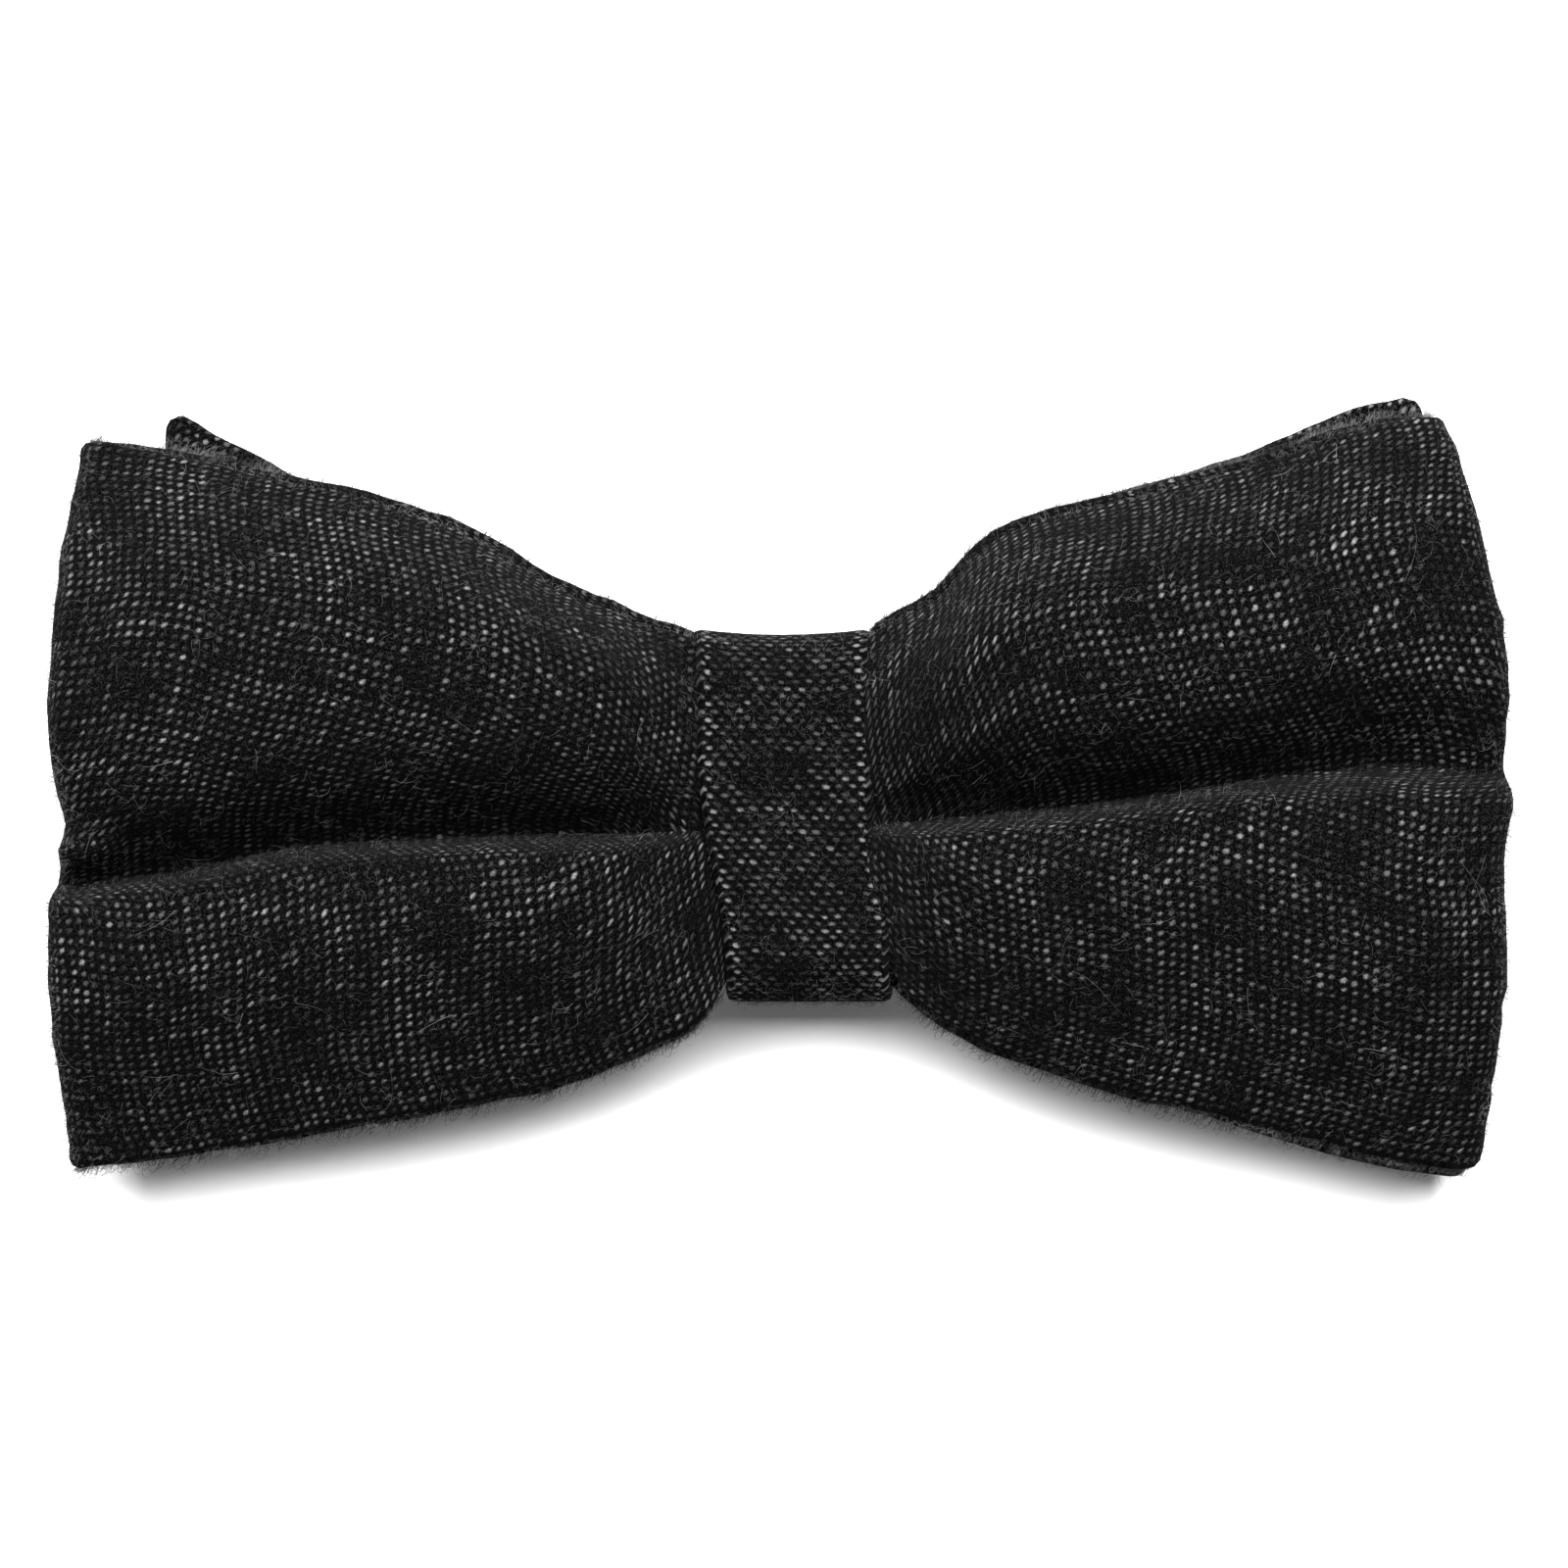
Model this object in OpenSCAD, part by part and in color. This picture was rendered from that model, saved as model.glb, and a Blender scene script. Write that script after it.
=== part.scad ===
// Ready-tied bow tie with an adjustable neck band, lying on its back.
// +Z points out of the front face, +X to the wearer's left, +Y to the bow's top edge.
// The origin is on the ground below the middle of the bow. Millimetres.

/* [Front bow] */
// Width of the front bow from fold to fold
front_w = 120; // [116:1:124]
// Height of the wings' top corners above the origin
front_top = 30.2; // [27:0.1:31]
// Depth of the wings' bottom corners below the origin
front_bottom = 32.1; // [28:0.1:33]
// Thickness of the front bow's cloth band, its lining included
front_thick = 1.9; // [1.6:0.1:1.9]
// How far the wings puff up beyond their flat thickness
front_puff = 3.5; // [1:0.5:5]
// Depth of the centre pleat in each wing
pleat_depth = 2.4; // [0:0.2:2.6]

/* [Rear bow] */
// Reach of the rear bow to the left of the knot's middle
rear_left = 50; // [47:0.5:53]
// Reach of the rear bow to the right of the knot's middle
rear_right = 57; // [53:0.5:57.5]
// Height of the rear bow's top edge above the origin
rear_top = 30.8; // [27:0.1:31]
// Depth of the rear bow's bottom edge below the origin
rear_bottom = 31.5; // [27:0.1:32]
// How much taller the rear bow's right end is, at its top and its bottom
rear_flare = 1.3; // [0:0.1:1.5]
// Thickness of the rear bow's cloth band, its lining included
rear_thick = 1.6; // [1.3:0.1:1.6]

/* [Knot] */
// Width of the knot's wrap
knot_w = 15.2; // [13:0.1:16]
// Height of the knot
knot_h = 30.1; // [29.6:0.1:32]
// Middle of the knot above the origin
knot_y = -2.8; // [-4:0.1:-1]
// Thickness of the wrap, its lining included
wrap_thick = 1.4; // [1.2:0.1:1.4]

/* [Neck band] */
// Width of the neck band
band_w = 16; // [12:0.5:18]
// Thickness of the neck band
band_thick = 0.7; // [0.5:0.05:0.7]
// Distance of the outer folds from the middle
fold_x = 56; // [50:0.5:56]
// Distance of the inner folds from the middle
tuck_x = 14; // [13:0.5:16]
// Distance of the hook's and the eye's bars from the middle
bar_x = 23; // [22:0.5:25]
// Distance of the slider from the middle
slider_x = 40; // [38:0.5:42]

/* [Metal] */
// Radius of the hook's and the eye's bars
bar_r = 0.5; // [0.4:0.05:0.5]
// Thickness of the hook's and the eye's plates
plate_t = 0.7; // [0.5:0.05:0.8]
// Width of the hook's tongue
tongue_w = 6; // [4:0.5:7]
// Radius of the slider's middle bar
slider_bar_r = 0.3; // [0.25:0.05:0.3]

/* [Hidden] */
cloth = [0.16, 0.16, 0.17];
canvas = [0.85, 0.83, 0.78];
thread = [0.08, 0.08, 0.09];
metal = [0.75, 0.75, 0.77];

air = 0.1;              // clearance between a lining and its cloth, and at sewn ends
layer_air = 0.2;        // clearance between two layers of cloth
waist_x = knot_w / 2 + 0.6;                     // the bows widen outside the knot
thread_r = 0.25;
waist_h = knot_h / 2 - wrap_thick - 1.8;        // half height of the gathered bows

// Levels of the layers' middles, from the ground up
band_z3 = 3.75;                                 // third pass of the folded band
band_pitch = band_thick + layer_air;
band_z2 = band_z3 + band_pitch;
band_z1 = band_z2 + band_pitch;
rear_z = band_z1 + band_thick / 2 + 2 * thread_r + 0.3 + rear_thick / 2;
rear_gap = rear_thick + layer_air + 0.2;
front_z = rear_z + rear_gap + rear_thick / 2 + 0.35 + front_thick / 2;
front_gap = front_thick + layer_air;
gather_top = front_z + front_gap + front_thick / 2;
wrap_front_z = gather_top + 2 * thread_r + 0.3 + wrap_thick / 2;
wrap_back_z = band_z1 - band_thick / 2 - 0.2 - wrap_thick / 2;

function mix(a, b, t) = a * (1 - t) + b * t;
function ease(x, a, b) = let (t = max(0, min(1, (x - a) / (b - a)))) t * t * (3 - 2 * t);
function unit(a) = a / norm(a);

// The wings' corners hang down beside the folded band
function droop(x, y) = 5.4 * ease(abs(x), 16, 54) * ease(abs(y - knot_y), 9, 30);

// Top and bottom edges of a wing at a distance u from the middle
function spread(u, rise, power) = u <= waist_x ? 0 : 1 - exp(-pow((u - waist_x) / rise, power));
function wing_top(u, top) = mix(knot_y + waist_h, top, spread(u, 19, 1.5));
function wing_bottom(u, bottom) = mix(knot_y - waist_h, -bottom, spread(u, 14, 0.85));

// One side of a bow's loop: q runs from 0 at the back seam through the fold to 1 at the front
back_share = 0.42;
fold_share = 0.58;
seam_half = 0.8;
function loop_u(q, reach, r) =
    q < back_share ? mix(seam_half, reach - r, q / back_share) :
    q > fold_share ? (reach - r) * (1 - q) / (1 - fold_share) :
    reach - r + r * sin(180 * (q - back_share) / (fold_share - back_share));
function loop_side(q) =
    q < back_share ? 0 :
    q > fold_share ? 1 :
    (1 - cos(180 * (q - back_share) / (fold_share - back_share))) / 2;

// A point on the middle of a bow's band: s from 0 to 2 round the loop, v from -1 to 1 across it
half_stations = 18;
rows = 8;
function front_at(s, v) =
    let (
        side = s < 1 ? 1 : -1,
        q = s < 1 ? s : 2 - s,
        reach = front_w / 2 - front_thick / 2,
        u = loop_u(q, reach, 2.2) - 1.7 * v * v * ease(q, 0, back_share) * ease(1 - q, 0, 1 - fold_share),
        x = side * u,
        y = mix(wing_bottom(u, front_bottom), wing_top(u, front_top), (v + 1) / 2),
        swell = ease(u, waist_x, 26) * (1 - 0.7 * ease(u, 34, reach)),
        pleat = pleat_depth * swell * exp(-pow((v - 0.03) / 0.22, 2)),
        gap = front_gap + front_puff * (1 - v * v) * swell + 2.2 * ease(u, 30, reach) - pleat
    )
    [x, y, front_z - droop(x, y) + gap * loop_side(q)];
function rear_at(s, v) =
    let (
        side = s < 1 ? 1 : -1,
        q = s < 1 ? s : 2 - s,
        reach = (s < 1 ? rear_right : rear_left) - rear_thick / 2,
        u = loop_u(q, reach, 0.9) - 1.6 * v * v * ease(q, 0, back_share) * ease(1 - q, 0, 1 - fold_share),
        x = side * u,
        flare = rear_flare * v * ease(x, waist_x, reach),
        y = mix(wing_bottom(u, rear_bottom), wing_top(u, rear_top), (v + 1) / 2) + flare
    )
    [x, y, rear_z - droop(x, y) + rear_gap * loop_side(q)];

// The knot's wrap runs round the waist in the YZ plane, with its ends meeting at the back
wrap_corner = 3.2;
wrap_stations = 28;
wrap_half_y = knot_h / 2 - wrap_thick / 2;
wrap_path = [
    [knot_y + 0.5, wrap_back_z],
    for (a = [-90:18:0])
        [knot_y + wrap_half_y - 2 + 2 * cos(a), wrap_back_z + 2 + 2 * sin(a)],
    for (a = [0:15:90])
        [knot_y + wrap_half_y - wrap_corner + wrap_corner * cos(a), wrap_front_z - wrap_corner + wrap_corner * sin(a)],
    for (a = [90:15:180])
        [knot_y - wrap_half_y + wrap_corner + wrap_corner * cos(a), wrap_front_z - wrap_corner + wrap_corner * sin(a)],
    for (a = [180:18:270])
        [knot_y - wrap_half_y + 2 + 2 * cos(a), wrap_back_z + 2 + 2 * sin(a)],
    [knot_y - 0.5, wrap_back_z]
];

// Points and unit normals of a strip, as rows of [point, normal, outward edge]
function strip_grid(at, stations, rows, reach) = [
    for (i = [0:stations])
        [for (j = [0:rows])
            let (
                s = 2 * i / stations,
                v = reach * (2 * j / rows - 1),
                ds = 0.004,
                along = at(min(2, s + ds), v) - at(max(0, s - ds), v),
                across = at(s, v + 0.02) - at(s, v - 0.02)
            )
            [at(s, v), unit(cross(along, across)), unit(across)]
        ]
];
// Each station's closed ring: up one face, round the edge, down the other face, round the edge
function strip_rings(grid, half) = [
    for (row = grid)
        let (last = len(row) - 1)
        [
            for (p = row) p[0] + half * p[1],
            row[last][0] + 0.8 * half * row[last][2],
            for (j = [last:-1:0]) row[j][0] - half * row[j][1],
            row[0][0] - 0.8 * half * row[0][2]
        ]
];
function flat(lists) = [for (l = lists) each l];
// Triangles between neighbouring rings of m points, wound one way or the other
function skin(rings, m, start, flip) = [
    for (i = [0:rings - 2])
        for (k = [0:m - 1])
            let (
                a = start + i * m + k,
                b = start + i * m + (k + 1) % m,
                c = b + m,
                d = a + m
            )
            each flip ? [[a, b, c], [a, c, d]] : [[a, c, b], [a, d, c]]
];
function cap(m, start, flip) =
    let (n = m / 2 - 2)
    [
        for (j = [0:n - 1])
            let (
                a = start + j,
                b = start + j + 1,
                c = start + m - 2 - (j + 1),
                d = start + m - 2 - j
            )
            each flip ? [[a, b, c], [a, c, d]] : [[a, c, b], [a, d, c]],
        let (a = start + n, b = start + n + 1, c = start + n + 2) flip ? [a, b, c] : [a, c, b],
        let (a = start + m - 2, b = start + m - 1) flip ? [a, b, start] : [a, start, b]
    ];
function rim(m, outer, inner, flip) = [
    for (k = [0:m - 1])
        let (
            a = outer + k,
            b = outer + (k + 1) % m,
            c = inner + (k + 1) % m,
            d = inner + k
        )
        each flip ? [[a, b, c], [a, c, d]] : [[a, c, b], [a, d, c]]
];

// A solid strip, such as a lining
module strip(grid, half) {
    rings = strip_rings(grid, half);
    count = len(rings);
    m = len(rings[0]);
    polyhedron(
        points = flat(rings),
        faces = [
            each skin(count, m, 0, false),
            each cap(m, 0, false),
            each cap(m, (count - 1) * m, true)
        ]
    );
}

// A sewn cloth tube round a lining, open at its two ends
module cloth_tube(outer_grid, inner_grid, outer_half, inner_half) {
    outer = strip_rings(outer_grid, outer_half);
    inner = strip_rings(inner_grid, inner_half);
    count = len(outer);
    m = len(outer[0]);
    first_inner = count * m;
    polyhedron(
        points = [each flat(outer), each flat(inner)],
        faces = [
            each skin(count, m, 0, false),
            each skin(count, m, first_inner, true),
            each rim(m, 0, first_inner, false),
            each rim(m, (count - 1) * m, first_inner + (count - 1) * m, true)
        ]
    );
}

// Threads that close the gap between a band's two ends, in a row along Y
module seam(y_low, y_high, z, length, count) {
    for (k = [0:count - 1])
        translate([0, mix(y_low, y_high, k / (count - 1)), z])
            rotate([0, 90, 0])
                cylinder(r = thread_r, h = length, center = true, $fn = 24);
}

cavity = 0.96;          // share of a band's width that is hollow
lining = 0.94;          // share of a band's width that its lining fills
bow_stations = 2 * half_stations;

module front_bow() {
    color(cloth)
        cloth_tube(
            strip_grid(function(s, v) front_at(s, v), bow_stations, rows, 1),
            strip_grid(function(s, v) front_at(s, v), bow_stations, rows, cavity),
            front_thick / 2,
            front_thick * 0.26
        );
}

module front_bow_interlining() {
    color(canvas)
        strip(strip_grid(function(s, v) front_at(s, v), bow_stations, rows, lining), front_thick * 0.18);
}

module front_bow_seam() {
    color(thread)
        seam(knot_y - waist_h + 2, knot_y + waist_h - 2, front_z, 2 * (seam_half - air), 9);
}

module rear_bow() {
    color(cloth)
        cloth_tube(
            strip_grid(function(s, v) rear_at(s, v), bow_stations, rows, 1),
            strip_grid(function(s, v) rear_at(s, v), bow_stations, rows, cavity),
            rear_thick / 2,
            rear_thick * 0.26
        );
}

module rear_bow_interlining() {
    color(canvas)
        strip(strip_grid(function(s, v) rear_at(s, v), bow_stations, rows, lining), rear_thick * 0.16);
}

module rear_bow_seam() {
    color(thread)
        seam(knot_y - waist_h + 2, knot_y + waist_h - 2, rear_z, 2 * (seam_half - air), 9);
}

// Turns of thread that hold both bows gathered, side by side round the waist
thread_low = rear_z - rear_thick / 2 - 0.1 - thread_r;
thread_high = gather_top + 0.1 + thread_r;
thread_half_y = waist_h + 0.4 * front_thick + 0.1 + thread_r;
thread_cut = 0.85;      // how far the thread cuts each corner
function cut_box(half_y, half_z, cut) = [
    [half_y, half_z - cut], [half_y - cut, half_z], [cut - half_y, half_z], [-half_y, half_z - cut],
    [-half_y, cut - half_z], [cut - half_y, -half_z], [half_y - cut, -half_z], [half_y, cut - half_z]
];
module gather_thread() {
    half_z = (thread_high - thread_low) / 2;
    color(thread)
        for (x = [-1.8:0.6:1.8])
            translate([x, knot_y, thread_low + half_z])
                rotate([90, 0, 90])
                    linear_extrude(height = 2 * thread_r - 0.05, center = true)
                        difference() {
                            polygon(cut_box(thread_half_y + thread_r, half_z + thread_r, thread_cut + 0.15));
                            polygon(cut_box(thread_half_y - thread_r, half_z - thread_r, thread_cut - 0.15));
                        }
}

function wrap_at(s, v) =
    let (
        place = s / 2 * (len(wrap_path) - 1),
        i = min(len(wrap_path) - 2, floor(place)),
        p = mix(wrap_path[i], wrap_path[i + 1], place - i)
    )
    [v * (knot_w / 2 - 0.4 * wrap_thick), p[0], p[1]];
wrap_rows = 2;
module knot_wrap() {
    color(cloth)
        cloth_tube(
            strip_grid(function(s, v) wrap_at(s, v), len(wrap_path) - 1, wrap_rows, 1),
            strip_grid(function(s, v) wrap_at(s, v), len(wrap_path) - 1, wrap_rows, 0.93),
            wrap_thick / 2,
            wrap_thick * 0.25
        );
}

module knot_interlining() {
    color(canvas)
        strip(
            strip_grid(function(s, v) wrap_at(s, v), len(wrap_path) - 1, wrap_rows, 0.9),
            wrap_thick * 0.15
        );
}

module knot_seam() {
    color(thread)
        for (x = [-5:2.5:5])
            translate([x, knot_y, wrap_back_z])
                rotate([90, 0, 0])
                    cylinder(r = thread_r, h = 0.8, center = true, $fn = 24);
}

// A flat run of the band between two distances from the middle, on one side
module run(x_from, x_to, z) {
    translate([min(x_from, x_to), knot_y - band_w / 2, z - band_thick / 2])
        cube([abs(x_to - x_from), band_w, band_thick]);
}

// A fold between two runs: a half ring that bulges towards +X or -X
module turn(x, z_low, z_high, bulge) {
    r = (z_high - z_low) / 2;
    translate([x, knot_y, (z_low + z_high) / 2])
        rotate([90, 0, 0])
            linear_extrude(height = band_w, center = true)
                intersection() {
                    difference() {
                        circle(r = r + band_thick / 2, $fn = 48);
                        circle(r = r - band_thick / 2, $fn = 48);
                    }
                    translate([bulge > 0 ? 0 : -2 * r, -2 * r])
                        square([2 * r, 4 * r]);
                }
}

bend_x = 10;                            // the band bends here, beside the knot
bend_half = 0.45;
join = 0.1;                             // half the slit left at a fold for its travel
left_z4 = 2.3;                          // last pass on the left, above the tail
right_z4 = band_thick / 2;              // last pass on the right, on the ground
tail_thick = 0.6;
tail_z = tail_thick / 2;
left_bar_z = left_z4 - band_thick / 2 - bar_r - 0.02;
right_bar_z = right_z4 + band_thick / 2 + bar_r + 0.02;
loop_mid = bar_r + 0.02 + band_thick / 2;

module centre_run() {
    color(cloth)
        run(-bend_x + bend_half, bend_x - bend_half, band_z1);
}
module bend(side) {
    color(cloth)
        run(side * (bend_x - bend_half), side * (bend_x + bend_half), band_z1);
}
module pass_1(side) {
    color(cloth)
        run(side * (bend_x + bend_half), side * (fold_x - join), band_z1);
}
module pass_2(side) {
    color(cloth)
        run(side * (fold_x - join), side * (tuck_x + join), band_z2);
}
module pass_3(side) {
    color(cloth)
        run(side * (tuck_x + join), side * (fold_x - join), band_z3);
}
module outer_turn(side, z_low, z_high) {
    color(cloth)
        turn(side * (fold_x - join), z_low, z_high, side);
}
module inner_turn(side) {
    color(cloth)
        turn(side * (tuck_x + join), band_z3, band_z2, -side);
}

// A strip's outline in the XZ plane, from the points along its middle
function middle_normal(path, i) =
    let (d = unit(path[min(len(path) - 1, i + 1)] - path[max(0, i - 1)]))
    [-d[1], d[0]];
function outline(path, thick) = [
    for (i = [0:len(path) - 1]) path[i] + thick / 2 * middle_normal(path, i),
    for (i = [len(path) - 1:-1:0]) path[i] - thick / 2 * middle_normal(path, i)
];
module swept_run(path, thick, width) {
    translate([0, knot_y, 0])
        rotate([90, 0, 0])
            linear_extrude(height = width, center = true)
                polygon(outline(path, thick));
}

// The last pass on the left goes over the hook's bar and ends under it
lap_x = bar_x + 3;
module band_left_4() {
    color(cloth)
        swept_run(
            [
                [-fold_x + join, left_z4],
                [-bar_x - 1, left_z4],
                for (a = [90:-15:-90])
                    [-bar_x + loop_mid * cos(a), left_bar_z + loop_mid * sin(a)],
                [-lap_x, left_bar_z - loop_mid]
            ],
            band_thick,
            band_w
        );
}

// The tail runs back under the last pass and is sewn round the slider's middle bar
slider_bar_z = tail_thick + slider_bar_r + 0.02;
tail_loop = slider_bar_r + 0.02 + tail_thick / 2;
module band_left_tail() {
    color(cloth)
        swept_run(
            [
                [-lap_x - air, left_bar_z - loop_mid],
                [-lap_x - 2, tail_z],
                [-slider_x + 1, tail_z],
                for (a = [270:-15:60])
                    [-slider_x + tail_loop * cos(a), slider_bar_z + tail_loop * sin(a)]
            ],
            tail_thick,
            band_w
        );
}

module band_left_stitches() {
    color(thread)
        for (y = [-6:2:6])
            translate([-lap_x - air / 2, knot_y + y, left_bar_z - loop_mid + band_thick / 2 + thread_r + 0.03])
                rotate([0, 90, 0])
                    cylinder(r = thread_r * 0.8, h = 2, center = true, $fn = 24);
}

// The last pass on the right goes round the eye's bar and is sewn down on itself
lap_z = right_z4 + band_thick + 0.05;
module band_right_4() {
    color(cloth)
        swept_run(
            [
                [fold_x - join, right_z4],
                [bar_x + 1, right_z4],
                for (a = [270:-15:90])
                    [bar_x + loop_mid * cos(a), right_bar_z + loop_mid * sin(a)],
                [bar_x + 1.6, right_bar_z + 0.55 * loop_mid],
                [bar_x + 3, lap_z],
                [bar_x + 8, lap_z]
            ],
            band_thick,
            band_w
        );
}

module band_right_stitches() {
    color(thread)
        for (y = [-6:2:6])
            translate([bar_x + 6, knot_y + y, lap_z + band_thick / 2 + thread_r])
                rotate([0, 90, 0])
                    cylinder(r = thread_r * 0.8, h = 2.4, center = true, $fn = 24);
}

// A cast frame: two top bars over the last pass, a middle bar under it, and a rail at each side
rail_gap = 0.3;
rail_w = 1;
slider_half = 5;
top_bar_w = 1.3;
top_bar_z = left_z4 + band_thick / 2 + 0.1;
slider_top = top_bar_z + 0.5;
module slider() {
    rail_in = band_w / 2 + rail_gap;
    color(metal)
        translate([-slider_x, knot_y, 0]) {
            for (y = [-rail_in - rail_w, rail_in])
                translate([-slider_half, y, 0])
                    cube([2 * slider_half, rail_w, slider_top]);
            for (x = [-slider_half, slider_half - top_bar_w])
                translate([x, -rail_in - rail_w / 2, top_bar_z])
                    cube([top_bar_w, 2 * rail_in + rail_w, slider_top - top_bar_z]);
            translate([0, 0, slider_bar_z])
                rotate([90, 0, 0])
                    cylinder(r = slider_bar_r, h = 2 * rail_in + rail_w, center = true, $fn = 48);
        }
}

// A bar across the band's end loop, held by two arms
hook_reach = 10;
arm_w = 1.2;
bar_half = band_w / 2 + 0.3 + arm_w;
module barred_end(side, bar_z, plate_z) {
    translate([side * bar_x, knot_y, bar_z])
        rotate([90, 0, 0])
            cylinder(r = bar_r, h = 2 * bar_half - 0.2, center = true, $fn = 48);
    for (y = [-bar_half, bar_half - arm_w])
        translate([0, knot_y + y + arm_w, 0])
            rotate([90, 0, 0])
                linear_extrude(height = arm_w)
                    polygon([
                        [side * (bar_x + 0.8), bar_z - 0.8],
                        [side * (bar_x + 0.8), bar_z + 0.8],
                        [side * (bar_x - 0.8), bar_z + 0.8],
                        [side * (bar_x - 3.2), plate_z + plate_t / 2],
                        [side * (bar_x - 3.2), plate_z - plate_t / 2]
                    ]);
}

hook_z = 0.1 + plate_t / 2;
module hook() {
    lip = 0.7;                          // inner radius of the hooked tip
    tip_x = -bar_x + hook_reach - lip - plate_t;
    color(metal) {
        barred_end(-1, left_bar_z, hook_z);
        translate([-bar_x + 2.2, knot_y - bar_half, hook_z - plate_t / 2])
            cube([1.6, 2 * bar_half, plate_t]);
        translate([-bar_x + 2.6, knot_y - tongue_w / 2, hook_z - plate_t / 2])
            cube([hook_reach - 2.6 - lip - plate_t, tongue_w, plate_t]);
        translate([tip_x, knot_y, hook_z + plate_t / 2 + lip])
            rotate([90, 0, 0])
                linear_extrude(height = tongue_w, center = true)
                    intersection() {
                        difference() {
                            circle(r = lip + plate_t, $fn = 48);
                            circle(r = lip, $fn = 48);
                        }
                        translate([0, -lip - plate_t])
                            square([lip + plate_t, 2 * lip + 2 * plate_t]);
                    }
        translate([tip_x - 2.4, knot_y - tongue_w / 2, hook_z + plate_t / 2 + 2 * lip])
            cube([2.4, tongue_w, plate_t]);
    }
}

eye_z = 0.1 + plate_t / 2;
slot_w = 9;                             // the hook's tongue passes through this slot
slot_l = 3.6;
module eye() {
    color(metal) {
        barred_end(1, right_bar_z, eye_z);
        difference() {
            translate([bar_x - hook_reach, knot_y - bar_half, eye_z - plate_t / 2])
                cube([hook_reach - 2.2, 2 * bar_half, plate_t]);
            translate([bar_x - hook_reach + 1.6, knot_y - slot_w / 2, 0])
                cube([slot_l, slot_w, 2]);
        }
    }
}

module band_centre() {
    centre_run();
}
module band_left_bend() {
    bend(-1);
}
module band_left_1() {
    pass_1(-1);
}
module band_left_fold_1() {
    outer_turn(-1, band_z2, band_z1);
}
module band_left_2() {
    pass_2(-1);
}
module band_left_fold_2() {
    inner_turn(-1);
}
module band_left_3() {
    pass_3(-1);
}
module band_left_fold_3() {
    outer_turn(-1, left_z4, band_z3);
}
module band_right_bend() {
    bend(1);
}
module band_right_1() {
    pass_1(1);
}
module band_right_fold_1() {
    outer_turn(1, band_z2, band_z1);
}
module band_right_2() {
    pass_2(1);
}
module band_right_fold_2() {
    inner_turn(1);
}
module band_right_3() {
    pass_3(1);
}
module band_right_fold_3() {
    outer_turn(1, right_z4, band_z3);
}

front_bow();
front_bow_interlining();
front_bow_seam();
rear_bow();
rear_bow_interlining();
rear_bow_seam();
gather_thread();
knot_wrap();
knot_interlining();
knot_seam();
band_centre();
band_left_bend();
band_left_1();
band_left_fold_1();
band_left_2();
band_left_fold_2();
band_left_3();
band_left_fold_3();
band_left_4();
band_left_tail();
band_left_stitches();
slider();
hook();
band_right_bend();
band_right_1();
band_right_fold_1();
band_right_2();
band_right_fold_2();
band_right_3();
band_right_fold_3();
band_right_4();
band_right_stitches();
eye();
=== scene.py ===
"""A ready-tied wool bow tie lying on its back on a white table, seen from straight above.

Shapes are worked out in millimetres and turned into metres when a mesh is made.
"""
import math

import bpy
import numpy as np
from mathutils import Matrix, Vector


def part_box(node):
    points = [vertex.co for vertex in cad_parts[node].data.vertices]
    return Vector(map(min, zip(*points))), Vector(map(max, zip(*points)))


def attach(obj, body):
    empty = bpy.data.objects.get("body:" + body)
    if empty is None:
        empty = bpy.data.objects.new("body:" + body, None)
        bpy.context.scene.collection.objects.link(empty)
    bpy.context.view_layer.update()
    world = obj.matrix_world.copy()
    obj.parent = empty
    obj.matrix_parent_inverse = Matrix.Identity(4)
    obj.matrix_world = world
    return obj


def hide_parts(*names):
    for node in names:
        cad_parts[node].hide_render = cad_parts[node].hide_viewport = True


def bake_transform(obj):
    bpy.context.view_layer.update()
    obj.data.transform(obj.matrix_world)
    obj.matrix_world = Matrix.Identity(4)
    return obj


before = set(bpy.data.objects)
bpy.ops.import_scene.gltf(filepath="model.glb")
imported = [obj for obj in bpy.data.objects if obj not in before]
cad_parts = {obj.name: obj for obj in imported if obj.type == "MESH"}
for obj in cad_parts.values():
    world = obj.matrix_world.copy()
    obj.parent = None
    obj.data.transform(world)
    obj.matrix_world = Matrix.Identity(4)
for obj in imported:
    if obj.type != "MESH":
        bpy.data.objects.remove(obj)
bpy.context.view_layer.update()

MM = 0.001
KNOT_Y = -2.8


def node_box(node):
    """A CAD node's corners in millimetres."""
    low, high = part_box(node)
    return np.array(low) / MM, np.array(high) / MM


def node_level(node):
    low, high = node_box(node)
    return (low[2] + high[2]) / 2


# ---------------------------------------------------------------- small maths


def ease(x, a, b):
    t = np.clip((np.asarray(x, float) - a) / (b - a), 0, 1)
    return t * t * (3 - 2 * t)


def mix(a, b, t):
    return a * (1 - t) + b * t


def line_through(points):
    """A smooth curve y(x) through its points, straight beyond its ends."""
    xs, ys = (np.array(c, float) for c in zip(*points))
    steps = np.diff(ys) / np.diff(xs)
    slopes = np.concatenate([steps[:1], (steps[:-1] + steps[1:]) / 2, steps[-1:]])

    def at(x):
        x = np.asarray(x, float)
        i = np.clip(np.searchsorted(xs, x) - 1, 0, len(xs) - 2)
        h = xs[i + 1] - xs[i]
        t = np.clip((x - xs[i]) / h, 0, 1)
        inside = (
            ys[i] * (1 + 2 * t) * (1 - t) ** 2
            + ys[i + 1] * t * t * (3 - 2 * t)
            + slopes[i] * h * t * (1 - t) ** 2
            + slopes[i + 1] * h * t * t * (t - 1)
        )
        below = (x - xs[0]) * slopes[0] * (x < xs[0])
        above = (x - xs[-1]) * slopes[-1] * (x > xs[-1])
        return inside + below + above

    return at


CAMERA_HEIGHT = 366.0
PICTURE_LEVEL = 9.0      # the height above the table at which the outlines below were measured


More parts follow.
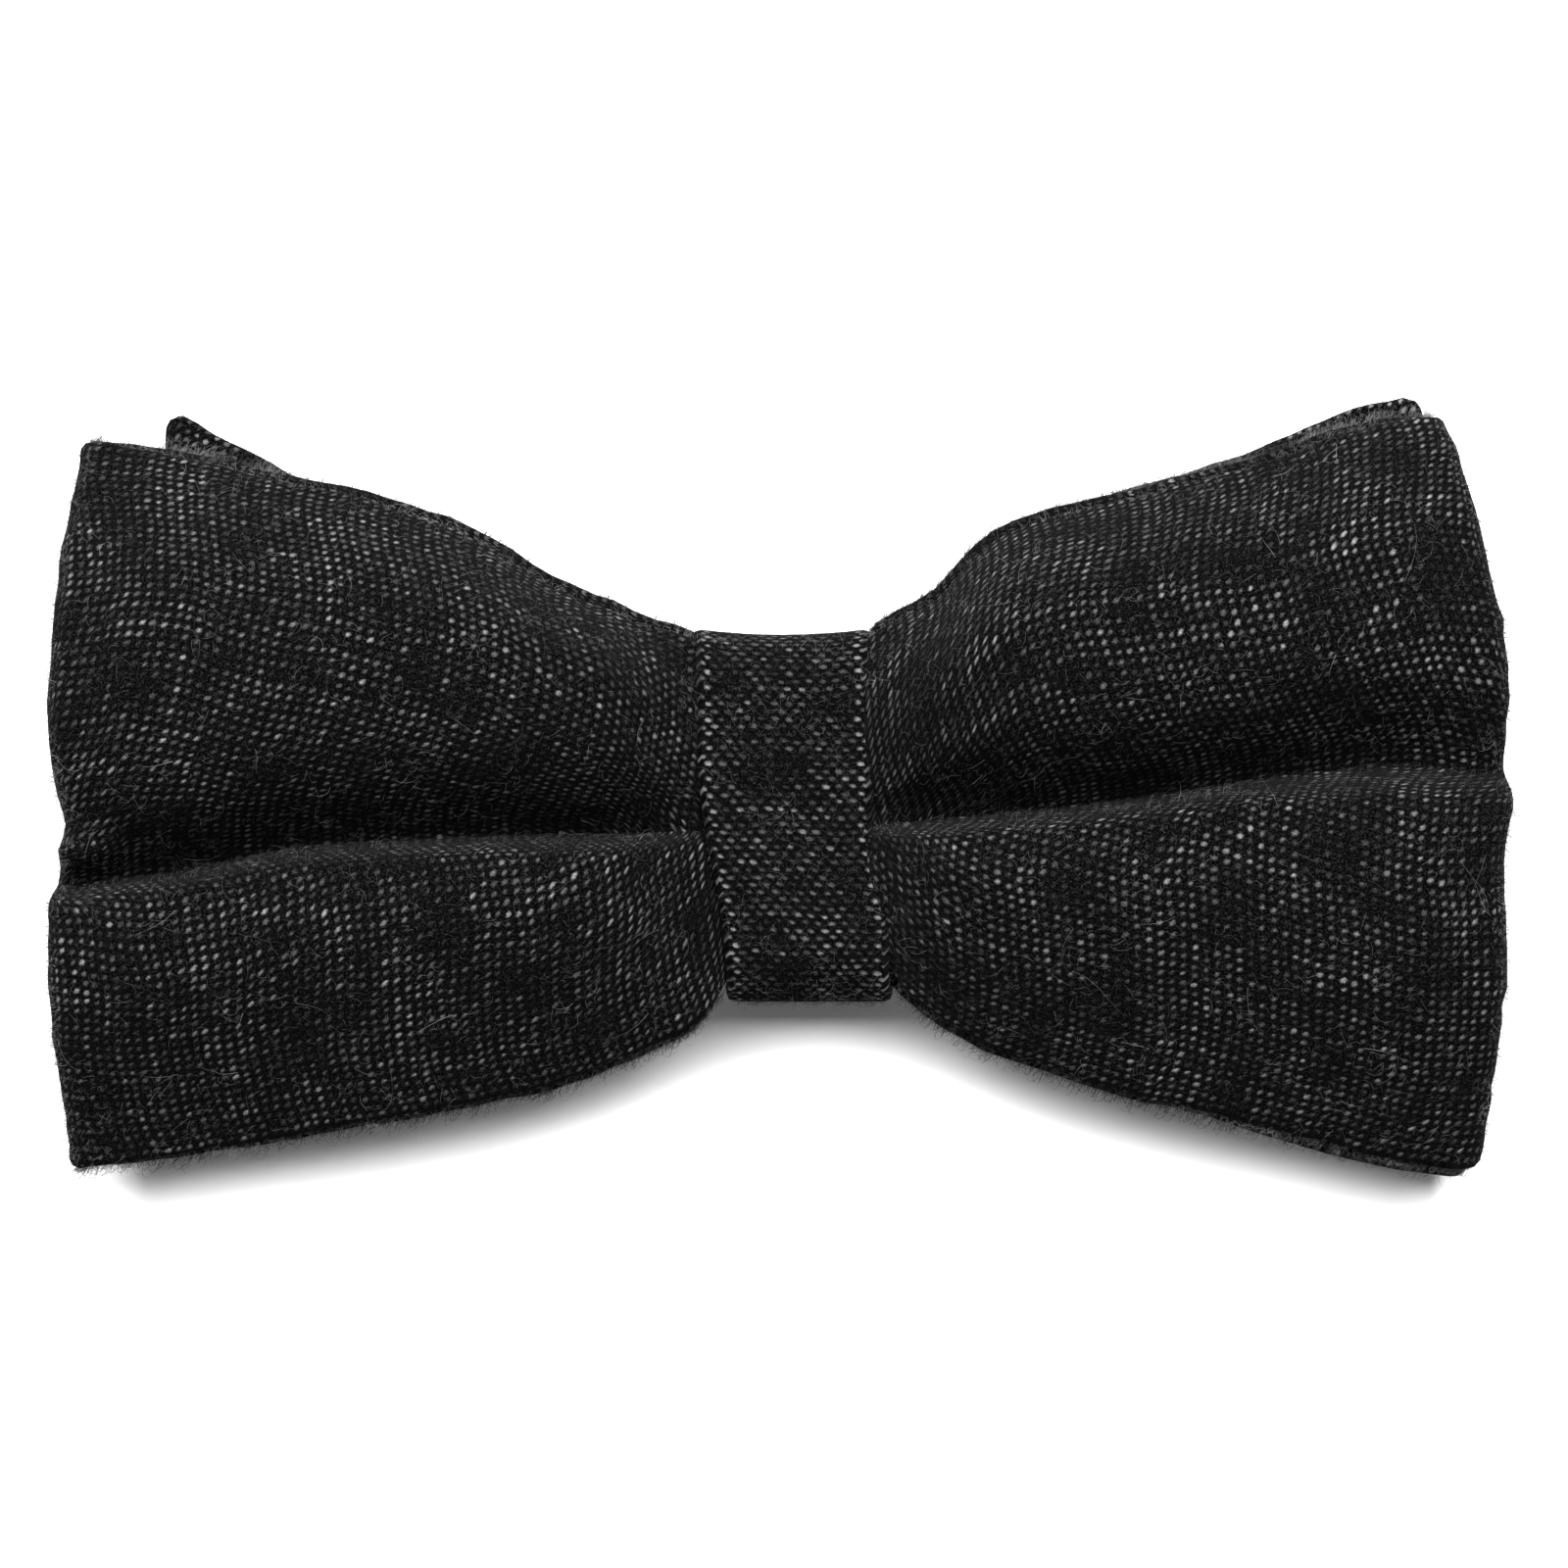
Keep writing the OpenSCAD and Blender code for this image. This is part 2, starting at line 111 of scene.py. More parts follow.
def as_seen(x, y, level):
    """Draws points at a level in towards the camera's axis, so that they line up with the outlines."""
    scale = (CAMERA_HEIGHT - level) / (CAMERA_HEIGHT - PICTURE_LEVEL)
    return x * scale, y * scale


def ripples(x, y, seed, count=7, longest=34.0, shortest=9.0):
    """Gentle, repeatable unevenness between about -1 and 1."""
    rng = np.random.default_rng(seed)
    total = 0
    for k in range(count):
        length = longest * (shortest / longest) ** (k / (count - 1))
        turn, phase = rng.uniform(0, 2 * math.pi, 2)
        weight = (length / longest) ** 0.7
        along = x * math.cos(turn) + y * math.sin(turn)
        total = total + weight * np.sin(2 * math.pi * along / length + phase)
    return total / 2.2


# ---------------------------------------------------------------- the cloth bands


def droop(x, y):
    """How far the wings hang down beside the folded neck band, as in CAD."""
    return 5.4 * ease(abs(x), 16, 54) * ease(abs(y - KNOT_Y), 9, 30)


def spread_rows(count):
    """Rows from 0 to 1, crowded towards both ends."""
    return (1 - np.cos(np.pi * np.arange(count + 1) / count)) / 2


def surface_normals(grid):
    along = np.gradient(grid, axis=0)
    across = np.gradient(grid, axis=1)
    n = np.cross(along, across)
    return n / np.linalg.norm(n, axis=2, keepdims=True)


def arc_lengths(grid, axis):
    step = np.linalg.norm(np.diff(grid, axis=axis), axis=2)
    total = np.cumsum(step, axis=axis)
    first = np.zeros_like(np.take(total, [0], axis=axis))
    return np.concatenate([first, total], axis=axis)


EDGE_STEPS = 3           # points round each rounded edge


def rings_at(grid, inward, start, end):
    """Closed rings round a strip's section: its outer side at depth start, its inner side at depth end."""
    outer, inner = grid + inward * start, grid + inward * end
    half = (end - start) / 2
    across = np.gradient(grid, axis=1)
    across /= np.linalg.norm(across, axis=2, keepdims=True)

    def edge(row, sign):
        middle = (outer[:, row] + inner[:, row]) / 2
        back, side = inward[:, row] * half, sign * across[:, row] * half
        angles = np.pi * np.arange(1, EDGE_STEPS + 1) / (EDGE_STEPS + 1)
        return np.stack([middle - back * math.cos(a) + side * math.sin(a) for a in angles], axis=1)

    return np.concatenate([outer, edge(-1, 1), inner[:, ::-1], edge(0, -1)[:, ::-1]], axis=1)


def build_mesh(name, points, faces, uvs=None):
    """A mesh object from points in millimetres, with one UV pair for each face corner."""
    mesh = bpy.data.meshes.new(name)
    mesh.from_pydata((np.asarray(points) * MM).tolist(), [], [list(map(int, f)) for f in faces])
    if uvs is not None:
        layer = mesh.uv_layers.new(name="cloth")
        layer.data.foreach_set("uv", np.asarray(uvs, np.float32).ravel())
    mesh.polygons.foreach_set("use_smooth", [True] * len(mesh.polygons))
    mesh.update()
    obj = bpy.data.objects.new(name, mesh)
    bpy.context.scene.collection.objects.link(obj)
    return obj


def ring_uvs(u, v, thick):
    """UVs for the closed rings that rings_at makes, one pair a ring point, plus one to close the ring."""
    edge = thick * (np.arange(1, EDGE_STEPS + 1) / (EDGE_STEPS + 1)) * 1.2
    top = v[:, -1:] + edge
    bottom = v[:, :1] - edge[::-1]
    wide = np.repeat(u[:, -1:], EDGE_STEPS, axis=1), np.repeat(u[:, :1], EDGE_STEPS, axis=1)
    ring_u = np.concatenate([u, wide[0], u[:, ::-1], wide[1]], axis=1)
    ring_v = np.concatenate([v, top, v[:, ::-1], bottom], axis=1)
    return np.stack([ring_u, ring_v], axis=2)


def band(name, grid, inward, thick, u, v, wall=None, split_row=None, split_v=None):
    """A strip of cloth as a closed solid.

    With a wall, it is a sewn tube, hollow for its lining and open at its ends.
    split_row is a row where the weave's V restarts; split_v is V for the rows below it.
    """
    outer = rings_at(grid, inward, 0, thick)
    stations, m = outer.shape[:2]
    upper = ring_uvs(u, v, thick)
    lower = upper if split_v is None else ring_uvs(u, split_v, thick)
    points, faces, uvs = [outer.reshape(-1, 3)], [], []
    rows = grid.shape[1]

    def source(k):
        if split_row is None:
            return upper
        row = k if k < rows - 1 else rows + EDGE_STEPS + rows - 2 - k
        return upper if row >= split_row else lower

    def skin(first, flip):
        for k in range(m):
            table, nxt = source(k), (k + 1) % m
            for i in range(stations - 1):
                a, b = first + i * m + k, first + i * m + nxt
                quad = [a, b, b + m, a + m]
                pairs = [table[i, k], table[i, nxt], table[i + 1, nxt], table[i + 1, k]]
                faces.append(quad[::-1] if flip else quad)
                uvs.extend(pairs[::-1] if flip else pairs)

    def close_end(i, first, second, flip):
        for k in range(m):
            nxt = (k + 1) % m
            quad = [first + i * m + k, second + i * m + k, second + i * m + nxt, first + i * m + nxt]
            pairs = [upper[i, k], upper[i, k], upper[i, nxt], upper[i, nxt]]
            faces.append(quad[::-1] if flip else quad)
            uvs.extend(pairs[::-1] if flip else pairs)

    skin(0, False)
    if wall is None:
        for i, flip in ((0, False), (stations - 1, True)):
            ring = [i * m + k for k in range(m)]
            faces.append(ring[::-1] if not flip else ring)
            pairs = [upper[i, k] for k in range(m)]
            uvs.extend(pairs[::-1] if not flip else pairs)
    else:
        narrow = grid.copy()
        across = np.gradient(grid, axis=1)
        across /= np.linalg.norm(across, axis=2, keepdims=True)
        narrow[:, 0] += across[:, 0] * wall * 0.5
        narrow[:, -1] -= across[:, -1] * wall * 0.5
        inner = rings_at(narrow, inward, wall, thick - wall)
        points.append(inner.reshape(-1, 3))
        skin(stations * m, True)
        close_end(0, 0, stations * m, False)
        close_end(stations - 1, 0, stations * m, True)
    return build_mesh(name, np.concatenate(points), faces, uvs)


# ---------------------------------------------------------------- the front bow

FRONT_THICK = 1.9
REAR_THICK = 1.6
FRONT_BACK_Z = node_level("front_bow_seam") - FRONT_THICK / 2      # underside of the front bow's back layer
REAR_BACK_Z = node_level("rear_bow_seam") - REAR_THICK / 2
FRONT_FACE_Z = FRONT_BACK_Z + 2 * FRONT_THICK + 0.2                # its face where both layers lie flat
REAR_FACE_Z = REAR_BACK_Z + 2 * REAR_THICK + 0.4

FRONT_TOP = line_through([
    (-57.0, 28.5), (-50.6, 27.6), (-39.8, 25.0), (-33.3, 23.6), (-26.1, 21.2), (-18.1, 16.6), (-12.4, 14.7),
    (-10.4, 13.9), (-7.8, 13.4), (-6.6, 12.8), (-5.2, 10.6), (-3.5, 9.3), (0.0, 8.9), (4.0, 9.2), (5.8, 10.8),
    (7.2, 12.9), (8.8, 14.1), (13.0, 16.4), (16.5, 20.0), (21.3, 21.9), (32.5, 24.9), (40.6, 27.2),
    (48.6, 29.9), (54.2, 31.0),
])
FRONT_BOTTOM = line_through([
    (-58.1, -31.7), (-50.0, -30.6), (-43.8, -29.7), (-30.1, -27.1), (-18.9, -24.9), (-10.8, -22.5),
    (-7.2, -20.6), (-5.2, -18.6), (-3.8, -15.6), (-2.0, -14.5), (2.0, -14.4), (6.5, -14.6), (8.6, -16.0),
    (10.4, -18.0), (13.0, -19.8),
    (16.5, -21.4), (24.5, -24.2), (36.5, -27.3), (48.6, -30.5), (57.3, -31.9),
])
# measured along the lower edge of the dark groove in the photo, then moved down by about 0.4 mm
PLEAT = line_through([
    (-58.0, -8.6), (-53.4, -7.7), (-47.0, -6.8), (-43.8, -6.0), (-39.8, -5.2), (-31.7, -4.6), (-23.7, -4.2),
    (-8.4, -3.9), (0.0, -3.6), (10.0, -3.1), (16.5, -2.5), (24.5, -1.7), (32.5, -0.6), (40.6, 0.7),
    (44.6, 1.1), (48.6, 1.6), (52.6, 1.5), (59.0, 1.0),
])
LEFT_FOLD = line_through([
    (-31.7, 58.9), (-24.1, 59.0), (-16.1, 59.4), (-9.6, 59.2), (-6.2, 58.6), (-3.9, 57.9), (-1.0, 58.5),
    (4.0, 59.0), (12.0, 58.9), (28.5, 57.9),
])
RIGHT_FOLD = line_through([
    (-31.9, 57.9), (-26.5, 58.7), (-20.9, 59.0), (-12.0, 59.0), (-6.0, 58.8), (-2.4, 59.5), (4.0, 59.5),
    (12.0, 58.8), (22.5, 57.1), (31.0, 55.4),
])

LOBE_ROWS = 34           # rows across each lobe
SLIT_DEPTH = 7.6         # how deep the pleat is cut between the lobes
SLIT_WIDE = 3.7          # the reach of its sloping upper wall
SLIT_NARROW = 0.75       # and of its steep lower one
VALLEY_WIDE = 6.0        # the same at the right end, where it opens into a valley
VALLEY_NARROW = 1.6
UPPER_HILL = 4.0         # how far the upper lobe swells above the pleat's wall
UPPER_CREST = 0.62       # where a lobe is highest, from the pleat to the long edge
LOWER_HILL = 1.3         # the same for the lower lobe
LOWER_CREST = 0.28
EDGE_RISE = 3.2          # how far the long edges stand off the layer behind
FLARE = 1.4              # how far the wings lift towards their ends
GATHER = 0.16            # the height of the gathers beside the knot
TUCK = (-56.0, -5.6)     # the middle of the small tuck
TUCK_HEIGHT = 2.6
WING_END = 57.5          # where the outlines give the height of the folded ends
FOLD_DEPTH = 2.9         # how far each folded end bulges out
FRONT_EDGE_LEVEL = 14.5  # the height above the table taken for the long edges
FOLD_LEVEL = 12.3        # and for the folded ends
FRONT_INSET = 0.5        # how far the edge rows stay inside the outline
KNOT_INSET = 1.25        # the same beside the knot
YARN_WAVES = (9, 9.0, 2.6)   # the count, longest and shortest of the ripples along a sewn edge


def along_half(y, pleat, top, bottom):
    """Turns y from -1 to 1 into a place between the lower edge, the pleat and the upper edge."""
    return pleat + np.where(y > 0, y * (top - pleat), -y * (bottom - pleat))


def lobe_height(u, v, away, soft):
    """The height of the lobes over the bottom of the pleat."""
    swell = ease(u, 5.0, 22) * (1 - 0.25 * ease(u, 40, 58))
    depth = SLIT_DEPTH * ease(u, 3, 15) * (1 - 0.30 * ease(u, 50, 58))
    upper_wall = (away / mix(SLIT_WIDE, VALLEY_WIDE, soft)) ** 1.5
    lower_wall = (away / mix(SLIT_NARROW, VALLEY_NARROW, soft)) ** 1.8
    walls = depth * (1 - np.exp(-np.where(v > 0, upper_wall, lower_wall)))
    upper_hill = UPPER_HILL * (1 - (1 - np.clip(v / UPPER_CREST, 0, 1)) ** 2)
    lower_hill = LOWER_HILL * (1 - (1 - np.clip(-v / LOWER_CREST, 0, 1)) ** 2)
    height = walls + swell * np.where(v > 0, upper_hill, lower_hill)
    # past its crest each lobe falls to the cloth's long edge, which stands off the layer behind it
    past = np.where(v > 0, (v - UPPER_CREST) / (1 - UPPER_CREST), (-v - LOWER_CREST) / (1 - LOWER_CREST))
    fall = np.clip(past, 0, 1) ** np.where(v > 0, 1.9, 1.5)
    return mix(height, EDGE_RISE * ease(u, 14, 40), fall), swell


def front_face(side, t, v):
    """Points on the front layer's face. t runs from 0 at the middle to 1 at the fold, v from -1 to 1."""
    fold = LEFT_FOLD if side < 0 else RIGHT_FOLD
    end = side * WING_END
    end_y = along_half(v, PLEAT(end), FRONT_TOP(end), FRONT_BOTTOM(end))
    wobble = 0.16 * ripples(end_y, 0 * end_y, 14 + side, *YARN_WAVES)
    x = side * t * (fold(end_y) - FOLD_DEPTH + wobble)
    uneven = 0.13 * ripples(x, 0 * x, 12, *YARN_WAVES)
    inset = mix(KNOT_INSET, FRONT_INSET, ease(abs(x), 9, 20))
    pleat = PLEAT(x)
    y = along_half(v, pleat, FRONT_TOP(x) - inset + uneven, FRONT_BOTTOM(x) + inset + uneven)
    u = abs(x)
    soft = ease(x, 34, 50)
    height, swell = lobe_height(u, v, np.abs(y - pleat), soft)
    z = FRONT_FACE_Z - droop(x, y) + height + FLARE * ease(u, 36, 57)
    z = z + 0.22 * ripples(x, y, 4) * swell
    # near the knot the gathers fan out
    fan = np.arctan2(y - pleat, u - 2.0)
    reach = ease(u, 7, 11) * (1 - ease(u, 15, 30)) * (1 - np.abs(v) ** 4)
    z = z + GATHER * np.sin(fan * 17 + side) * reach
    # the small tuck over the mouth of the pleat at the left end
    tuck_x, tuck_y = x - TUCK[0], y - TUCK[1]
    z = z + TUCK_HEIGHT * np.exp(-((tuck_x / 3.0) ** 4) - ((tuck_y - 0.12 * tuck_x) / 1.25) ** 2)
    return as_seen(x, y, FOLD_LEVEL)[0], as_seen(x, y, FRONT_EDGE_LEVEL)[1], z


SEAM_HALF = 0.8          # half the gap that the seam at the back closes


def loop_grid(face, back_z, fold_depth, half_rows, layer_stations, fold_stations):
    """The outer surface of a bow's loop, from the seam at its back round to the seam again."""
    v = np.concatenate([-spread_rows(half_rows)[::-1], spread_rows(half_rows)[1:]])
    t_front = np.linspace(0, 1, layer_stations)
    parts = []
    for side in (1, -1):
        tt, vv = np.meshgrid(t_front, v, indexing="ij")
        fx, fy, fz = face(side, tt, vv)
        front = np.stack([fx, fy, fz], axis=2)
        back = front[::2].copy()
        back[..., 2] = back_z - droop(back[..., 0], back[..., 1])
        back[0, :, 0] = side * SEAM_HALF
        top, low = front[-1], back[-1]
        turns = np.pi * np.arange(1, fold_stations) / fold_stations
        bulge = np.stack(
            [
                (top + low) / 2
                + (top - low) / 2 * math.cos(a)
                + np.array([side * fold_depth, 0, 0]) * math.sin(a)
                for a in turns
            ]
        )
        parts.append((front, bulge, back))
    right, left = parts
    # back right -> fold -> front right -> front left -> fold -> back left
    return np.concatenate([
        right[2], right[1][::-1], right[0][::-1], left[0][1:], left[1], left[2][::-1],
    ])


def outward(grid):
    """Unit normals that point out of the loop."""
    n = surface_normals(grid)
    k = np.unravel_index(np.argmax(grid[..., 2]), grid.shape[:2])
    return n if n[k][2] > 0 else -n


HALF_WIDTH = 33.0        # V at the sewn edges


def weave_uvs(grid):
    """U along the band from its middle, V across it from each sewn edge inwards, both in millimetres."""
    along = arc_lengths(grid, 0)
    mid = grid.shape[0] // 2
    u = along[mid : mid + 1] - along
    across = arc_lengths(grid, 1)
    v_up = HALF_WIDTH - (across[:, -1:] - across)
    v_low = across - HALF_WIDTH
    return u, v_up, v_low


def inner_strip(grid, inward, depth, margin):
    """A lining's own surface: the band's, moved in by a depth and cut back at its edges."""
    deep = (grid + inward * depth)[:, 1:-1].copy()
    across = np.gradient(grid, axis=1)
    across /= np.linalg.norm(across, axis=2, keepdims=True)
    deep[:, 0] = grid[:, 0] + inward[:, 0] * depth + across[:, 0] * margin
    deep[:, -1] = grid[:, -1] + inward[:, -1] * depth - across[:, -1] * margin
    return deep, inward[:, 1:-1]


def make_front_bow():
    grid = loop_grid(front_face, FRONT_BACK_Z, FOLD_DEPTH, LOBE_ROWS, layer_stations=66, fold_stations=9)
    inward = -outward(grid)
    u, v_up, v_low = weave_uvs(grid)
    split = {"split_row": LOBE_ROWS, "split_v": v_low}
    bow = band("front_bow_cloth", grid, inward, FRONT_THICK, u, v_up, wall=0.55, **split)
    core = inner_strip(grid, inward, depth=0.68, margin=1.0)
    lining = band("front_bow_canvas", *core, thick=0.54, u=u[:, 1:-1], v=v_up[:, 1:-1])
    return bow, lining, grid, -inward


# ---------------------------------------------------------------- the rear bow

REAR_TOP = line_through([
    (-51.2, 30.6), (-48.8, 30.1), (-46.2, 28.4), (-43.0, 27.0), (-39.8, 25.2), (-34.0, 22.9), (-26.0, 19.4),
    (-19.0, 14.4), (-14.0, 12.3), (-8.0, 11.2), (-5.5, 9.6), (0.0, 8.9), (5.5, 9.6), (8.0, 11.8),
    (13.0, 14.6), (18.0, 19.2), (26.0, 23.2), (34.0, 25.6), (42.0, 28.5), (48.0, 31.0), (53.0, 32.2),
])
REAR_BOTTOM = line_through([
    (-49.5, -29.6), (-40.0, -28.4), (-28.0, -26.0), (-18.0, -23.2), (-11.0, -20.8), (-7.6, -18.6),
    (-4.0, -15.0), (0.0, -14.5), (5.0, -14.7), (8.8, -16.0), (13.0, -19.0), (20.0, -22.0), (30.0, -25.4),
    (40.0, -28.8), (48.0, -31.2), (57.0, -32.5),
])

REAR_FOLD = 1.9          # how far each folded end bulges out
REAR_EDGE_LEVEL = 7.0    # the height above the table taken for its edges
LEFT_REACH = 51.7        # how far its folded ends reach
RIGHT_REACH = 57.2


def rear_face(side, t, v):
    """Points on the rear bow's front layer, as front_face gives them for the front bow."""
    inset = REAR_THICK * 0.45
    if side < 0:
        reach = LEFT_REACH - 0.5 * np.abs(v) ** 3
    else:
        reach = RIGHT_REACH - 3.6 * np.clip(v, 0, 1) ** 2
    x = side * t * (reach - REAR_FOLD)
    uneven = 0.12 * ripples(x, 0 * x, 13, *YARN_WAVES)
    top, bottom = REAR_TOP(x) - inset + uneven, REAR_BOTTOM(x) + inset + uneven
    y = mix(bottom, top, (v + 1) / 2)
    u = abs(x)
    z = REAR_FACE_Z - droop(x, y) + 0.5 * ease(u, 40, 56)
    z = z - 0.12 * (1 + ripples(x, y, 9)) * ease(u, 9, 20)
    return *as_seen(x, y, REAR_EDGE_LEVEL), z


def make_rear_bow():
    counts = {"half_rows": 16, "layer_stations": 40, "fold_stations": 8}
    grid = loop_grid(rear_face, REAR_BACK_Z, REAR_FOLD, **counts)
    inward = -outward(grid)
    u, v_up, _ = weave_uvs(grid)
    bow = band("rear_bow_cloth", grid, inward, REAR_THICK, u, v_up, wall=0.45)
    core = inner_strip(grid, inward, depth=0.58, margin=0.9)
    lining = band("rear_bow_canvas", *core, thick=0.44, u=u[:, 1:-1], v=v_up[:, 1:-1])
    return bow, lining, grid, -inward


# ---------------------------------------------------------------- the knot

WRAP_THICK = 1.4
KNOT_LEFT = line_through([
    (-18.0, -4.3), (-14.0, -4.7), (-9.2, -5.3), (-5.5, -6.1), (0.3, -6.9), (10.4, -7.1), (12.3, -7.1),
])
KNOT_RIGHT = line_through([
    (-18.0, 9.3), (-10.5, 9.2), (-7.5, 8.6), (-4.8, 8.1), (0.0, 7.85), (8.0, 7.6), (12.3, 7.6),
])
KNOT_HALF = 7.2          # U at the wrap's long edges


def knot_outline():
    """The wrap's outer surface in the YZ plane, from its seam at the back, up and over, and back to it."""
    low, high = node_box("knot_wrap")
    bottom, top = low[2], high[2]
    half_y, middle = (high[1] - low[1]) / 2, (high[1] + low[1]) / 2
    front_r, back_r = 5.2, 2.6
    corners = (
        (half_y - back_r, bottom + back_r, back_r, -90, 0, 8),
        (half_y - front_r, top - front_r, front_r, 0, 90, 14),
        (-half_y + front_r, top - front_r, front_r, 90, 180, 14),
        (-half_y + back_r, bottom + back_r, back_r, 180, 270, 8),
    )
    path = [(middle + 0.5, bottom)]
    for cy, cz, r, start, end, steps in corners:
        for k in range(steps + 1):
            a = math.radians(mix(start, end, k / steps))
            path.append((middle + cy + r * math.cos(a), cz + r * math.sin(a)))
    path.append((middle - 0.5, bottom))
    path = np.array(path)
    # even spacing, so that the weave and the shading stay even
    length = np.concatenate([[0], np.cumsum(np.linalg.norm(np.diff(path, axis=0), axis=1))])
    even = np.linspace(0, length[-1], 150)
    spread = [np.interp(even, length, path[:, axis]) for axis in (0, 1)]
    return np.stack(spread, axis=1), even


def make_knot():
    path, s = knot_outline()
    v = np.concatenate([-spread_rows(11)[::-1], spread_rows(11)[1:]])
    left, right = KNOT_LEFT(path[:, 0]), KNOT_RIGHT(path[:, 0])
    inset = WRAP_THICK * 0.5
    middle, half = (left + right) / 2, (right - left) / 2 - inset
    x = middle[:, None] + half[:, None] * v
    y = np.repeat(path[:, :1], len(v), axis=1)
    z = np.repeat(path[:, 1:], len(v), axis=1)
    top = z.max()
    facing = ease(z, top - 6, top - 1)
    z = z + facing * (0.75 - 0.9 * np.abs(v) ** 3.0)
    y = y + 0.4 * v * v * ease(y, 6, 11)        # the wings pull the knot's top corners up
    z = z + facing * 0.14 * ripples(x * 1.6, y * 1.1, 21)
    x, y = as_seen(x, y, z)
    grid = np.stack([x, y, z], axis=2)
    inward = -outward(grid)
    u = np.repeat(v[None] * KNOT_HALF, len(s), axis=0)
    along = np.repeat(s[:, None], len(v), axis=1)
    wrap = band("knot_wrap_cloth", grid, inward, WRAP_THICK, u, along, wall=0.42)
    core = inner_strip(grid, inward, depth=0.5, margin=0.9)
    lining = band("knot_canvas", *core, thick=0.4, u=u[:, 1:-1], v=along[:, 1:-1])
    return wrap, lining, grid, -inward


# ---------------------------------------------------------------- the neck band

BAND_ROWS = 12
BAND_W = 16.0
BAND_T = 0.7
TAIL_T = 0.6
TAIL_LOOP = 0.62         # the radius of the tail's turn round the slider's bar
SLIDER_X = (node_box("slider")[0][0] + node_box("slider")[1][0]) / 2


def section_rows(width, count=BAND_ROWS):
    return (2 * np.arange(count + 1) / count - 1) * width / 2


def flat_band(name, path, thick, width):
    """A pressed strip of cloth that follows a path in the XZ plane, with its face to the path's left."""
    path = np.array(path, float)
    length = np.concatenate([[0], np.cumsum(np.linalg.norm(np.diff(path, axis=0), axis=1))])
    count = max(3, int(length[-1] / 0.8))
    if len(path) > 12:
        even = length
    else:
        even = np.linspace(0, length[-1], count)
    x, z = np.interp(even, length, path[:, 0]), np.interp(even, length, path[:, 1])
    rows = section_rows(width - thick * 0.8)
    ys = KNOT_Y + np.repeat(rows[None], len(x), 0)
    grid = np.stack([np.repeat(x[:, None], len(rows), 1), ys, np.repeat(z[:, None], len(rows), 1)], axis=2)
    n = surface_normals(grid)
    u = np.repeat(even[:, None], len(rows), axis=1)
    v = np.repeat(rows[None], len(x), axis=0)
    return band(name, grid - n * thick / 2, n, thick, u, v)


def run_path(node, flip=False):
    """The middle line of a straight CAD run, end to end."""
    low, high = node_box(node)
    z = (low[2] + high[2]) / 2
    ends = [(low[0], z), (high[0], z)]
    return ends[::-1] if flip else ends


TURN_STEPS = 14


def turn_path(node, side, thick):
    """The middle line of a CAD fold: half an oval from the upper run round to the lower one."""
    low, high = node_box(node)
    upper, lower = high[2] - thick / 2, low[2] + thick / 2
    base = low[0] if side > 0 else high[0]
    reach = (high[0] - low[0]) - thick / 2
    angles = [math.pi * k / TURN_STEPS for k in range(TURN_STEPS + 1)]
    return [(base + side * reach * math.sin(a), mix(upper, lower, (1 - math.cos(a)) / 2)) for a in angles]


def arc(x, z, r, start, end, steps=12):
    angles = [math.radians(mix(start, end, k / steps)) for k in range(steps + 1)]
    return [(x + r * math.cos(a), z + r * math.sin(a)) for a in angles]


def left_end_path():
    """The last pass on the left: over the hook's bar, round it, and a short lap back."""
    low, high = node_box("band_left_4")
    z = high[2] - BAND_T / 2
    r = (z - low[2] - BAND_T / 2) / 2
    x = high[0] - BAND_T / 2 - r
    return [(low[0], z), (x - 1, z), *arc(x, z - r, r, 90, -90), (x - 3.0, z - 2 * r)]


def right_end_path():
    """The last pass on the right: along the table, round the eye's bar, and back down on itself."""
    low, high = node_box("band_right_4")
    z = low[2] + BAND_T / 2
    r = (high[2] - low[2] - BAND_T) / 2
    x = low[0] + BAND_T / 2 + r
    lap = z + BAND_T + 0.05
    turned = [(high[0], z), (x + 1, z), *arc(x, z + r, r, 270, 90)]
    return [*turned, (x + 1.6, z + 1.55 * r), (x + 3, lap), (x + 8, lap)]


def tail_path():
    """The band's tail: from the lap by the hook, along the table, and round the slider's middle bar."""
    low, high = node_box("band_left_tail")
    z = low[2] + TAIL_T / 2
    top = high[2] - TAIL_T / 2
    bar_x, bar_r = SLIDER_X, TAIL_LOOP
    return [(high[0], top), (high[0] - 1.9, z), (bar_x + 1, z), *arc(bar_x, z + bar_r, bar_r, 270, 60, 14)]


# ---------------------------------------------------------------- materials


